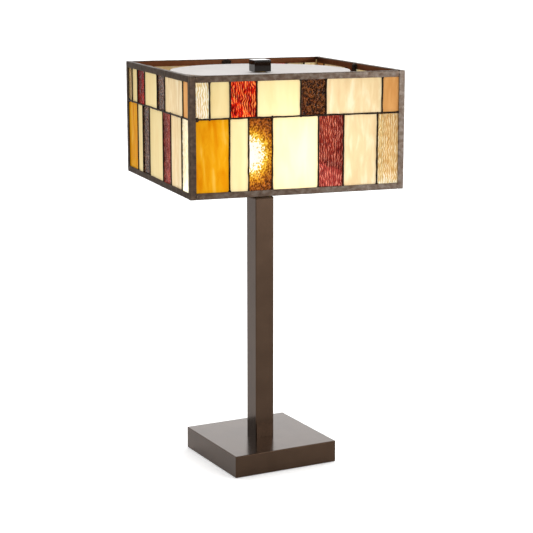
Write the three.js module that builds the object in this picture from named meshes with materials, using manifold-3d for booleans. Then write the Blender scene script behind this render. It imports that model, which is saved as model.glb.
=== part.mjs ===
// Square stained-glass table lamp: a weighted square base, a square stem, a lampholder inside a wire harp,
// and a box shade of leaded glass that hangs from the harp on a four-armed spider, under a disc and a block finial.
// Millimetres, +Z up. The origin is on the surface that the lamp stands on, under the middle of the stem.
// The front faces -Y. The shade stands a few degrees round from the base, as its finial lets it.
import * as THREE from "three";
import { mergeVertices } from "three/addons/utils/BufferGeometryUtils.js";
import Module from "manifold-3d";

const wasm = await Module();
wasm.setup();

// ---------- driving dimensions ----------
const GAP = 0.3; // between pieces that bear on each other

const BASE_WIDTH = 132.6;
const BASE_TOP = 26.1;
const COVER_BOTTOM = 0.5;
const BASE_WALL = 1.6;
const PAD_THICK = 1.5;
const PLATE_THICK = 1.2;
const WEIGHT_WIDTH = 124;
const WEIGHT_THICK = 14;

const STEM_WIDTH = 23.7;
const STEM_WALL = 1.2;
const STEM_TOP = 314;
const STEM_CAP_THICK = 2;

const ROD_R = 4.9; // hollow threaded rod, M10 x 1
const ROD_BORE_R = 3.5;
const ROD_HOLE_R = 5.2; // clearance hole for the rod
const NUT_ACROSS_FLATS = 14;
const NUT_THICK = 4;
const WASHER_THICK = 1.5;

const GLAND_Z = 9;
const GLAND_BORE_R = 3.75;

const WIRE_R = 1.8; // harp wire
const HARP_FOOT_X = 30.75;
const FERRULE_HEIGHT = 13;

const BULB_R = 22.5; // golf-ball bulb, 45 mm across
const BULB_LENGTH = 70;
const HOLDER_R = 19.5;

const SHADE_WIDTH = 250;
const SHADE_BOTTOM = 335.5;
const SHADE_TOP = 467.5;
const SHADE_TURN = THREE.MathUtils.degToRad(-7.4);
const RAIL_HEIGHT = 7;
const RAIL_DEPTH = 6;
const CHANNEL_WALL = 1.2;
const CHANNEL_DEPTH = 4; // how far the glass goes into a rail
const GLASS_THICK = 3;

const LEAD_WIDTH = 2.4;
const LEAD_THICK = 0.9;
const LEAD_Z = 421.3; // the lead between the two rows of glass
const UPPER_LEADS = [-102.3, -79.2, -49.1, 1.7, 31.1, 98.3]; // seen from outside, left to right
const LOWER_LEADS = [-80.2, -58.4, -31.3, 22.6, 52.3, 92.9];

const DISC_R = 104;
const DISC_SEAT_R = 15; // the flat middle of the dished disc
const DISC_RISE = 2.6; // from the middle to the rim
const DISC_THICK = 1.4;
const DISC_TOP = 460; // of the flat middle
const SPIDER_THICK = 2;
const ARM_WIDTH = 9;
const STUD_R = 3; // threaded stud on top of the harp
const STUD_TOP = 471.4;
const STUD_HOLE_R = 3.4;
const FINIAL_WIDTH = 20;
const FINIAL_TOP = 474.5;

// ---------- heights that follow from them ----------
const PLATE_BOTTOM = PAD_THICK + GAP;
const WEIGHT_TOP = BASE_TOP - BASE_WALL - GAP;
const WEIGHT_BOTTOM = WEIGHT_TOP - WEIGHT_THICK;
const BASE_WASHER_BOTTOM = WEIGHT_BOTTOM - GAP - WASHER_THICK;
const BASE_NUT_BOTTOM = BASE_WASHER_BOTTOM - GAP - NUT_THICK;
const ROD_BOTTOM = BASE_NUT_BOTTOM - 0.5;

const SADDLE_BOTTOM = STEM_TOP + STEM_CAP_THICK + GAP;
const SADDLE_THICK = 1.5;
const HOLDER_BOTTOM = SADDLE_BOTTOM + SADDLE_THICK + GAP;
const CORE_BOTTOM = HOLDER_BOTTOM + 2.6;
const CORE_THICK = 2.6;
const CONTACT_THICK = 1.2;
const HOLDER_SEAM = HOLDER_BOTTOM + 9.4;
const HOLDER_RIM = HOLDER_BOTTOM + 31;
const ROD_TOP = CORE_BOTTOM - GAP;

const BULB_TIP = CORE_BOTTOM + CORE_THICK + GAP + CONTACT_THICK + GAP;
const BULB_TIP_HEIGHT = 2;
const BULB_CAP_BOTTOM = BULB_TIP + BULB_TIP_HEIGHT + GAP;
const BULB_CAP_TOP = BULB_CAP_BOTTOM + 22;
const BULB_NECK = BULB_CAP_TOP + GAP;
const BULB_CENTRE = BULB_TIP + BULB_LENGTH - BULB_R;

const SPIDER_TOP = DISC_TOP - DISC_THICK - GAP;
const SPIDER_BOTTOM = SPIDER_TOP - SPIDER_THICK;
const SEAT_WASHER_THICK = 1.2;
const SEAT_WASHER_BOTTOM = SPIDER_BOTTOM - GAP - SEAT_WASHER_THICK;
const STUD_SEAT_THICK = 3;
const STUD_SEAT_TOP = SEAT_WASHER_BOTTOM - GAP;
const HARP_TOP = STUD_SEAT_TOP - STUD_SEAT_THICK - GAP - WIRE_R;
const SADDLE_ARM_TOP = SADDLE_BOTTOM + 8;
const PIN_TOP = SADDLE_ARM_TOP + 9;
const HARP_FOOT = PIN_TOP + GAP;

// ---------- materials ----------
const paint = (name, color, roughness, metalness) =>
  new THREE.MeshStandardMaterial({ name, color, roughness, metalness });
const bronze = paint("bronze", 0x3f352b, 0.5, 0.35);
const patina = paint("patina", 0x57493f, 0.45, 0.6);
const whitePaint = paint("white_paint", 0xeeeeec, 0.4, 0);
const castIron = paint("cast_iron", 0x3a3a3c, 0.8, 0.6);
const zinc = paint("zinc", 0xb9bcc0, 0.35, 0.9);
const brass = paint("brass", 0xb08d4a, 0.35, 0.9);
const black = paint("black_plastic", 0x1b1a19, 0.5, 0);
const ceramic = paint("ceramic", 0xe9e6de, 0.5, 0);
const foamRubber = paint("foam_rubber", 0x24221f, 1, 0);
const upperGlass = paint("cream_glass", 0xf3dfa6, 0.2, 0);
const lowerGlass = paint("amber_glass", 0xe0992c, 0.2, 0);
const pearl = paint("pearl_glass", 0xfff3cf, 0.4, 0);

// ---------- shape helpers ----------
/** The closed mesh of a geometry as a manifold solid. */
function solid(geometry) {
  const bare = geometry.clone();
  bare.deleteAttribute("normal");
  bare.deleteAttribute("uv");
  const merged = mergeVertices(bare, 1e-3);
  return new wasm.Manifold(
    new wasm.Mesh({
      numProp: 3,
      vertProperties: merged.attributes.position.array,
      triVerts: new Uint32Array(merged.index.array),
    }),
  );
}

/** A manifold solid as a three.js geometry. */
function geometryOf(made) {
  const { vertProperties, triVerts } = made.getMesh();
  const geometry = new THREE.BufferGeometry();
  geometry.setAttribute("position", new THREE.BufferAttribute(new Float32Array(vertProperties), 3));
  geometry.setIndex(new THREE.BufferAttribute(new Uint32Array(triVerts), 1));
  return geometry;
}

const joined = (first, ...rest) => geometryOf(rest.reduce((sum, g) => sum.add(solid(g)), solid(first)));
const cut = (body, ...tools) => geometryOf(tools.reduce((left, g) => left.subtract(solid(g)), solid(body)));

/** A box from its lowest to its highest corner. */
function box([x0, y0, z0], [x1, y1, z1]) {
  return new THREE.BoxGeometry(x1 - x0, y1 - y0, z1 - z0).translate((x0 + x1) / 2, (y0 + y1) / 2, (z0 + z1) / 2);
}

/** A square block or plate centred on the Z axis. */
const slab = (width, z0, z1) => box([-width / 2, -width / 2, z0], [width / 2, width / 2, z1]);

/** A profile of [radius, height] points turned round the Z axis. */
function turned(profile, sides = 32) {
  const points = profile.map(([r, z]) => new THREE.Vector2(r, z));
  return new THREE.LatheGeometry(points, sides).rotateX(Math.PI / 2);
}

const cylinder = (r, z0, z1, sides) => turned([[0, z0], [r, z0], [r, z1], [0, z1]], sides);
const ring = (r, bore, z0, z1, sides) => turned([[bore, z0], [r, z0], [r, z1], [bore, z1], [bore, z0]], sides);

/** A flat outline of [x, y] points, extruded along Z from z0 to z1. */
function prism(outline, z0, z1) {
  const shape = new THREE.Shape(outline.map(([x, y]) => new THREE.Vector2(x, y)));
  return new THREE.ExtrudeGeometry(shape, { depth: z1 - z0, bevelEnabled: false }).translate(0, 0, z0);
}

function piece(parent, name, geometry, material) {
  const mesh = new THREE.Mesh(geometry, material);
  mesh.name = name;
  parent.add(mesh);
  return mesh;
}

// ---------- base ----------
function baseCover() {
  const inner = BASE_WIDTH - 2 * BASE_WALL;
  const glandHole = cylinder(5, -5, 5, 24).rotateX(Math.PI / 2).translate(0, BASE_WIDTH / 2, GLAND_Z);
  return cut(
    slab(BASE_WIDTH, COVER_BOTTOM, BASE_TOP),
    slab(inner, COVER_BOTTOM - 1, BASE_TOP - BASE_WALL),
    cylinder(ROD_HOLE_R, BASE_TOP - 5, BASE_TOP + 5, 24),
    glandHole,
  );
}

function baseWeight() {
  return cut(slab(WEIGHT_WIDTH, WEIGHT_BOTTOM, WEIGHT_TOP), cylinder(6, WEIGHT_BOTTOM - 1, WEIGHT_TOP + 1, 24));
}

/** Snap-in bushing in the rear wall, where the cord comes in. */
function cordGland() {
  const outerFlange = 6;
  const body = 4.7;
  const innerFlange = 5.5;
  const inside = BASE_WALL + GAP;
  return turned(
    [
      [GLAND_BORE_R, -inside - 1],
      [innerFlange, -inside - 1],
      [innerFlange, -inside],
      [body, -inside],
      [body, GAP],
      [outerFlange, GAP],
      [outerFlange, GAP + 1.2],
      [GLAND_BORE_R, GAP + 1.2],
      [GLAND_BORE_R, -inside - 1],
    ],
    24,
  )
    .rotateX(-Math.PI / 2)
    .translate(0, BASE_WIDTH / 2, GLAND_Z);
}

function hexNut(z0, z1) {
  const corner = NUT_ACROSS_FLATS / Math.sqrt(3);
  const hexagon = Array.from({ length: 6 }, (_, k) => {
    const angle = (k * Math.PI) / 3;
    return [corner * Math.cos(angle), corner * Math.sin(angle)];
  });
  return cut(prism(hexagon, z0, z1), cylinder(ROD_R + GAP / 2, z0 - 1, z1 + 1, 24));
}

function addBase(root) {
  const plateWidth = BASE_WIDTH - 2 * BASE_WALL - 2 * GAP;
  piece(root, "foot_pad", slab(plateWidth - 2, 0, PAD_THICK), foamRubber);
  piece(root, "base_plate", slab(plateWidth, PLATE_BOTTOM, PLATE_BOTTOM + PLATE_THICK), zinc);
  piece(root, "base_cover", baseCover(), bronze);
  piece(root, "base_weight", baseWeight(), castIron);
  piece(root, "cord_gland", cordGland(), black);
  const washer = ring(12, ROD_HOLE_R, BASE_WASHER_BOTTOM, BASE_WASHER_BOTTOM + WASHER_THICK, 24);
  piece(root, "base_washer", washer, zinc);
  piece(root, "base_nut", hexNut(BASE_NUT_BOTTOM, BASE_NUT_BOTTOM + NUT_THICK), zinc);
}

// ---------- stem ----------
function addStem(root) {
  const tube = cut(
    slab(STEM_WIDTH, BASE_TOP, STEM_TOP),
    slab(STEM_WIDTH - 2 * STEM_WALL, BASE_TOP - 1, STEM_TOP + 1),
  );
  const capTop = STEM_TOP + STEM_CAP_THICK;
  const cap = cut(slab(STEM_WIDTH, STEM_TOP, capTop), cylinder(ROD_HOLE_R, STEM_TOP - 1, capTop + 1, 24));
  piece(root, "stem", tube, bronze);
  piece(root, "stem_cap", cap, bronze);
  piece(root, "threaded_rod", ring(ROD_R, ROD_BORE_R, ROD_BOTTOM, ROD_TOP, 24), zinc);
}

// ---------- harp ----------
/** U-shaped strip under the lampholder, with an upright pin for each foot of the harp. */
function harpSaddle() {
  const halfWidth = 6;
  const armHalfWidth = 4;
  const outer = HARP_FOOT_X + SADDLE_THICK / 2;
  const top = SADDLE_BOTTOM + SADDLE_THICK;
  const strip = cut(
    box([-outer, -halfWidth, SADDLE_BOTTOM], [outer, halfWidth, top]),
    cylinder(ROD_HOLE_R, SADDLE_BOTTOM - 1, top + 1, 24),
  );
  const sides = [-1, 1].flatMap((side) => {
    const middle = side * HARP_FOOT_X;
    const arm = box(
      [middle - SADDLE_THICK / 2, -armHalfWidth, top - 1],
      [middle + SADDLE_THICK / 2, armHalfWidth, SADDLE_ARM_TOP],
    );
    return [arm, cylinder(WIRE_R, SADDLE_ARM_TOP - 4, PIN_TOP, 12).translate(middle, 0, 0)];
  });
  return joined(strip, ...sides);
}

/** The harp's wire: straight feet for the ferrules, a belly round the bulb, and a flat top under the stud. */
function harpLoop() {
  const leg = [
    [HARP_FOOT_X, HARP_FOOT],
    [HARP_FOOT_X, HARP_FOOT + 9],
    [HARP_FOOT_X, HARP_FOOT + 18],
    [34, BULB_CENTRE - 12],
    [39, BULB_CENTRE + 5],
    [39.5, BULB_CENTRE + 23],
    [35, HARP_TOP - 36.5],
    [25.5, HARP_TOP - 18.5],
    [15, HARP_TOP - 6.5],
    [7, HARP_TOP - 0.6],
  ];
  const left = leg.map(([x, z]) => new THREE.Vector3(-x, 0, z));
  const right = leg.map(([x, z]) => new THREE.Vector3(x, 0, z)).reverse();
  const path = new THREE.CatmullRomCurve3([...left, new THREE.Vector3(0, 0, HARP_TOP), ...right], false, "centripetal");
  const section = new THREE.Shape(
    Array.from({ length: 10 }, (_, k) => {
      const angle = (k * Math.PI) / 5;
      return new THREE.Vector2(WIRE_R * Math.cos(angle), WIRE_R * Math.sin(angle));
    }),
  );
  return new THREE.ExtrudeGeometry(section, { steps: 72, extrudePath: path });
}

/** Round seat with the threaded stud that the spider, the disc and the finial go on. */
function harpStud() {
  const seatR = 8;
  return turned(
    [
      [0, STUD_SEAT_TOP - STUD_SEAT_THICK],
      [seatR, STUD_SEAT_TOP - STUD_SEAT_THICK],
      [seatR, STUD_SEAT_TOP],
      [STUD_R, STUD_SEAT_TOP],
      [STUD_R, STUD_TOP],
      [0, STUD_TOP],
    ],
    24,
  );
}

function addHarp(root) {
  const ferruleBottom = SADDLE_ARM_TOP + GAP;
  const ferrule = ring(3.6, 2.2, ferruleBottom, ferruleBottom + FERRULE_HEIGHT, 20);
  piece(root, "harp_saddle", harpSaddle(), brass);
  piece(root, "harp_loop", harpLoop(), brass);
  piece(root, "harp_stud", harpStud(), brass);
  piece(root, "harp_ferrule_left", ferrule.clone().translate(-HARP_FOOT_X, 0, 0), brass);
  piece(root, "harp_ferrule_right", ferrule.clone().translate(HARP_FOOT_X, 0, 0), brass);
}

// ---------- lampholder and bulb ----------
function holderCap() {
  const wall = 1.8;
  return turned([
    [ROD_HOLE_R, HOLDER_BOTTOM],
    [8, HOLDER_BOTTOM],
    [9, HOLDER_BOTTOM + 1],
    [HOLDER_R - 3, HOLDER_BOTTOM + 2.2],
    [HOLDER_R, HOLDER_BOTTOM + 5.5],
    [HOLDER_R, HOLDER_SEAM],
    [HOLDER_R - wall, HOLDER_SEAM],
    [HOLDER_R - wall, CORE_BOTTOM + 2.5],
    [HOLDER_R - 4, CORE_BOTTOM - GAP],
    [ROD_HOLE_R, CORE_BOTTOM - GAP],
    [ROD_HOLE_R, HOLDER_BOTTOM],
  ]);
}

function holderSkirt() {
  const wall = 1.8;
  const bottom = HOLDER_SEAM + GAP;
  const lipR = 15.4;
  return turned([
    [HOLDER_R - wall, bottom],
    [HOLDER_R, bottom],
    [HOLDER_R, bottom + 3],
    [HOLDER_R - 0.8, bottom + 4],
    [HOLDER_R - 0.8, HOLDER_RIM - 1.5],
    [HOLDER_R - 2.2, HOLDER_RIM],
    [lipR, HOLDER_RIM],
    [lipR, HOLDER_RIM - 1.8],
    [HOLDER_R - wall - 0.8, HOLDER_RIM - 3],
    [HOLDER_R - wall, bottom],
  ]);
}

/** Pear-shaped shell of the bulb: a neck that flares into a globe, open below. */
function bulbGlass() {
  const wall = 1;
  const neckAngle = -Math.acos(17 / BULB_R); // where the globe starts, below its middle
  const steps = 12;
  const pear = (inset, bottom) => {
    const neckR = 12.4 - inset;
    const globeR = BULB_R - inset;
    const globe = Array.from({ length: steps + 1 }, (_, k) => {
      const angle = THREE.MathUtils.lerp(neckAngle, Math.PI / 2, k / steps);
      return [k === steps ? 0 : globeR * Math.cos(angle), BULB_CENTRE + globeR * Math.sin(angle)];
    });
    return turned([[0, bottom], [neckR, bottom], [neckR + 0.6, BULB_NECK + 4], ...globe]);
  };
  return cut(pear(0, BULB_NECK), pear(wall, BULB_NECK - 1));
}

/** Sheet metal cup that screws into the shell. */
function bulbCap() {
  const wall = 0.7;
  const r = 13.2;
  const well = cylinder(r - wall, BULB_CAP_BOTTOM + wall, BULB_CAP_TOP + 1, 32);
  return cut(cylinder(r, BULB_CAP_BOTTOM, BULB_CAP_TOP, 32), well);
}

function addLampholder(root) {
  const coreTop = CORE_BOTTOM + CORE_THICK;
  const floor = coreTop + GAP;
  piece(root, "lampholder_cap", holderCap(), black);
  piece(root, "lampholder_skirt", holderSkirt(), black);
  piece(root, "lampholder_core", cylinder(15, CORE_BOTTOM, coreTop, 32), ceramic);
  piece(root, "lampholder_screw_shell", ring(14.8, 13.9, floor, HOLDER_RIM - 2.5, 32), brass);
  piece(root, "lampholder_contact", cylinder(3.5, floor, floor + CONTACT_THICK, 20), brass);
  piece(root, "bulb_contact", cylinder(4.8, BULB_TIP, BULB_TIP + BULB_TIP_HEIGHT, 20), zinc);
  piece(root, "bulb_cap", bulbCap(), zinc);
  piece(root, "bulb_glass", bulbGlass(), pearl);
}

// ---------- shade ----------
const SIDES = ["front", "right", "back", "left"];
const CORNERS = ["front_left", "front_right", "back_right", "back_left"];
const HALF = SHADE_WIDTH / 2;
const GLASS_OUTER = HALF - CHANNEL_WALL - GAP; // distance of the glass's outer face from the axis
const POST_INNER = HALF - RAIL_HEIGHT;

/** U-shaped channel between two corner posts, with its slot facing up, for the front of the shade. */
function rail() {
  const outer = -HALF;
  const inner = -HALF + RAIL_DEPTH;
  const section = [
    [outer, 0],
    [inner, 0],
    [inner, RAIL_HEIGHT],
    [inner - CHANNEL_WALL, RAIL_HEIGHT],
    [inner - CHANNEL_WALL, RAIL_HEIGHT - CHANNEL_DEPTH],
    [outer + CHANNEL_WALL, RAIL_HEIGHT - CHANNEL_DEPTH],
    [outer + CHANNEL_WALL, RAIL_HEIGHT],
    [outer, RAIL_HEIGHT],
  ];
  const end = POST_INNER - GAP;
  // The section's x and y become the shade's y and z, and its length runs along x.
  const toSide = new THREE.Matrix4().makeBasis(
    new THREE.Vector3(0, 1, 0),
    new THREE.Vector3(0, 0, 1),
    new THREE.Vector3(1, 0, 0),
  );
  return prism(section, -end, end).applyMatrix4(toSide);
}

/** Corner angle with a square core that the edges of two glass panels stop against. */
function post() {
  const outer = -HALF;
  const flange = outer + RAIL_HEIGHT;
  const face = outer + CHANNEL_WALL;
  const core = outer + CHANNEL_WALL + 3.9;
  const section = [
    [outer, outer],
    [flange, outer],
    [flange, face],
    [core, face],
    [core, core],
    [face, core],
    [face, flange],
    [outer, flange],
  ];
  return prism(section, SHADE_BOTTOM, SHADE_TOP);
}

/** The lead lines on the outside of one panel: one across, and short ones up and down from it. */
function leadLines() {
  const inner = -GLASS_OUTER - GAP;
  const outer = inner - LEAD_THICK;
  const half = LEAD_WIDTH / 2;
  const across = POST_INNER - GAP;
  const top = SHADE_TOP - RAIL_HEIGHT - GAP;
  const bottom = SHADE_BOTTOM + RAIL_HEIGHT + GAP;
  const line = (x0, x1, z0, z1) => box([x0, outer, z0], [x1, inner, z1]);
  return joined(
    line(-across, across, LEAD_Z - half, LEAD_Z + half),
    ...UPPER_LEADS.map((x) => line(x - half, x + half, LEAD_Z, top)),
    ...LOWER_LEADS.map((x) => line(x - half, x + half, bottom, LEAD_Z)),
  );
}

/** One row of glass of the front panel. Its panes meet under the lead lines. */
function glassRow(z0, z1) {
  const end = HALF - CHANNEL_WALL - 3.9 - GAP;
  return box([-end, -GLASS_OUTER, z0], [end, -GLASS_OUTER + GLASS_THICK, z1]);
}

/** Four flat arms from a hub on the stud, each turned up against the inside of a top rail. */
function spider() {
  const reach = HALF - RAIL_DEPTH - GAP;
  const tabTop = SHADE_TOP - 2;
  const arms = SIDES.flatMap((_, k) => {
    const strip = box([-ARM_WIDTH / 2, -reach, SPIDER_BOTTOM], [ARM_WIDTH / 2, 0, SPIDER_TOP]);
    const tab = box([-ARM_WIDTH / 2, -reach, SPIDER_BOTTOM], [ARM_WIDTH / 2, -reach + SPIDER_THICK, tabTop]);
    return [strip, tab].map((g) => g.rotateZ((k * Math.PI) / 2));
  });
  const hub = cylinder(14, SPIDER_BOTTOM, SPIDER_TOP, 32);
  const cross = joined(hub, ...arms);
  return cut(cross, cylinder(STUD_HOLE_R, SPIDER_BOTTOM - 1, SPIDER_TOP + 1, 24));
}

/** Square block with a blind threaded hole, and a recess underneath for its washer. */
function finial() {
  const bottom = DISC_TOP + 1; // clear of the dished disc: only the washer bears on it
  return cut(
    slab(FINIAL_WIDTH, bottom, FINIAL_TOP),
    cylinder(STUD_HOLE_R, bottom - 1, STUD_TOP + 0.6, 24),
    cylinder(7.3, bottom - 1, DISC_TOP + 1.6, 24),
  );
}

/** Dished disc: flat in the middle, rising to its rim. */
function diffuser() {
  const profile = [
    [STUD_HOLE_R, DISC_TOP - DISC_THICK],
    [DISC_SEAT_R, DISC_TOP - DISC_THICK],
    [DISC_R, DISC_TOP + DISC_RISE - DISC_THICK],
    [DISC_R, DISC_TOP + DISC_RISE],
    [DISC_SEAT_R, DISC_TOP],
    [STUD_HOLE_R, DISC_TOP],
    [STUD_HOLE_R, DISC_TOP - DISC_THICK],
  ];
  return turned(profile, 72);
}

function addShade(root) {
  const shade = new THREE.Group();
  shade.rotation.z = SHADE_TURN;
  root.add(shade);
  SIDES.forEach((side, k) => {
    const panel = new THREE.Group();
    panel.rotation.z = (k * Math.PI) / 2;
    shade.add(panel);
    const topRail = piece(panel, "top_rail_" + side, rail().rotateY(Math.PI), patina);
    topRail.position.z = SHADE_TOP;
    piece(panel, "bottom_rail_" + side, rail(), patina).position.z = SHADE_BOTTOM;
    piece(panel, "corner_post_" + CORNERS[k], post(), patina);
    piece(panel, "lead_lines_" + side, leadLines(), patina);
    const inRail = RAIL_HEIGHT - CHANNEL_DEPTH + GAP;
    const edge = 0.4; // half the lead's heart, between the two rows
    piece(panel, "glass_upper_" + side, glassRow(LEAD_Z + edge, SHADE_TOP - inRail), upperGlass);
    piece(panel, "glass_lower_" + side, glassRow(SHADE_BOTTOM + inRail, LEAD_Z - edge), lowerGlass);
  });
  piece(shade, "shade_spider", spider(), patina);
  piece(shade, "shade_disc", diffuser(), whitePaint);
  const washerTop = SEAT_WASHER_BOTTOM + SEAT_WASHER_THICK;
  piece(shade, "seat_washer", ring(9, STUD_HOLE_R, SEAT_WASHER_BOTTOM, washerTop, 24), brass);
  piece(shade, "finial_washer", ring(6.8, STUD_HOLE_R, DISC_TOP + GAP, DISC_TOP + GAP + 0.9, 24), brass);
  piece(shade, "finial", finial(), bronze);
}

const lamp = new THREE.Group();
addBase(lamp);
addStem(lamp);
addHarp(lamp);
addLampholder(lamp);
addShade(lamp);

export default lamp;
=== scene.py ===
"""Square stained-glass table lamp: the detailed model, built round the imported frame.

Shapes are worked out in millimetres and placed in metres. The shade's own frame is turned a little about Z
from the base's; in it, the front panel faces -Y and the other three are quarter turns of it.
"""
import math

import bmesh
import bpy
from mathutils import Matrix, Vector, noise


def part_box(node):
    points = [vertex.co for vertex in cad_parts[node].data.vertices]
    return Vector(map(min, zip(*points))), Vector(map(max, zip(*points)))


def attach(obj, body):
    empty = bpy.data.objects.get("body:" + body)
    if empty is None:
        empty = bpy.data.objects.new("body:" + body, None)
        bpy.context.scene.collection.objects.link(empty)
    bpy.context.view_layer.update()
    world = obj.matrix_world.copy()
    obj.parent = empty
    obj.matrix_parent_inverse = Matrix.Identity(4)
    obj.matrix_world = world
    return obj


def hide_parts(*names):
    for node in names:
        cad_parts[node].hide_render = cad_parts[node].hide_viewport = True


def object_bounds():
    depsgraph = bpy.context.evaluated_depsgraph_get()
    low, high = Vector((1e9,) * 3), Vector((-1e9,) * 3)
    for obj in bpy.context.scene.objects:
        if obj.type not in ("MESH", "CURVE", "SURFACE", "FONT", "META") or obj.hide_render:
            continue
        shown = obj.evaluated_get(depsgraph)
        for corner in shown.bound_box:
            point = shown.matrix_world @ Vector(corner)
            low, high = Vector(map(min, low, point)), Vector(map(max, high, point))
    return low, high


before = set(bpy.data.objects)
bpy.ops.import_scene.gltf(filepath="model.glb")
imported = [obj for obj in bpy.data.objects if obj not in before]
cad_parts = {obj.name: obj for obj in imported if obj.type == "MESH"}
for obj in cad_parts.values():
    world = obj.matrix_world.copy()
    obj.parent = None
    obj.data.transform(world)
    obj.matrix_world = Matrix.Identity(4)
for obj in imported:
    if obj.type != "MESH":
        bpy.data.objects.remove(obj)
CAD_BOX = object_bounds()
MM = 0.001
noise.seed_set(4)  # unseeded, noise_vector differs from run to run

# ---------- sizes, in millimetres, as in the frame ----------
SIDES = ["front", "right", "back", "left"]
CORNERS = ["front_left", "front_right", "back_right", "back_left"]
SHADE_TURN = math.radians(-7.4)
SHADE_SPAN = (CAD_BOX[1][0] - CAD_BOX[0][0]) / MM  # across the turned shade's corners
HALF = SHADE_SPAN / (math.cos(SHADE_TURN) + abs(math.sin(SHADE_TURN))) / 2
SHADE_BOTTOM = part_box("corner_post_front_left")[0].z / MM
SHADE_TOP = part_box("corner_post_front_left")[1].z / MM
RAIL_HEIGHT = 7
RAIL_DEPTH = 6
CHANNEL_WALL = 1.2
CHANNEL_FLOOR = 3  # solid part of a rail, behind its slot
GAP = 0.3
ROD_HOLE_R = 5.2  # clearance hole for the threaded rod
WIRE_R = 1.8  # of the harp
FERRULE_R = 3.6
BRASS_THICK = 1.5  # of the saddle's strip
STUD_R = 3
STUD_HOLE_R = 3.4
THREAD_PITCH = 3.63  # of the bulb's cap
HOLDER_WALL = 1.8
POST_CORE = 3.9
POST_INNER = HALF - RAIL_HEIGHT
GLASS_OUTER = HALF - CHANNEL_WALL - GAP
GLASS_INNER = GLASS_OUTER - 3
GLASS_END = HALF - CHANNEL_WALL - POST_CORE - GAP
LEAD_Z = 421.3
LEAD_HALF = 0.95
LEAD_HEART = 0.35
PANE_GAP = 0.5  # from a lead's centre to the edge of the pane beside it
UPPER_LEADS = [-102.3, -79.2, -49.1, 1.7, 31.1, 98.3]
LOWER_LEADS = [-80.2, -58.4, -31.3, 22.6, 52.3, 92.9]
UPPER_GLASS = ["clear", "cream", "red", "cream", "smoke", "wispy", "caramel"]
LOWER_GLASS = ["amber", "cream", "smoke", "cream", "burgundy", "wispy", "clear"]
BULB_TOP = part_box("bulb_glass")[1].z / MM
BULB_R = 22.5
BULB_CENTRE = Vector((0, 0, BULB_TOP - BULB_R))
LAMP_CENTRE = BULB_CENTRE + Vector((5, -8, 0))  # where the light in the glass comes from
GLARE = (-59, 381)  # x and z of the bright spot that the bulb makes in the front panel
LIT = {  # how strongly a pane glows, where that is not 1 in the front panel or 0.72 in another
    ("front", "upper", 1): 1.3,
    ("front", "lower", 7): 0.65,
    ("left", "upper", 1): 0.4,
    ("left", "upper", 3): 0.62,
    ("left", "upper", 6): 1.1,
    ("left", "upper", 7): 3,
    ("left", "lower", 4): 0.5,
    ("left", "lower", 5): 0.9,
    ("left", "lower", 6): 1.1,
    ("left", "lower", 7): 1.5,
}


def low(node):
    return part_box(node)[0] / MM


def high(node):
    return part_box(node)[1] / MM


# ---------- materials ----------
def srgb(red, green, blue):
    """A display colour, 0 to 255, as the linear colour that shaders take."""
    shares = [c / 255 for c in (red, green, blue)]
    return (*(c / 12.92 if c <= 0.04 else ((c + 0.055) / 1.055) ** 2.4 for c in shares), 1)


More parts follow.
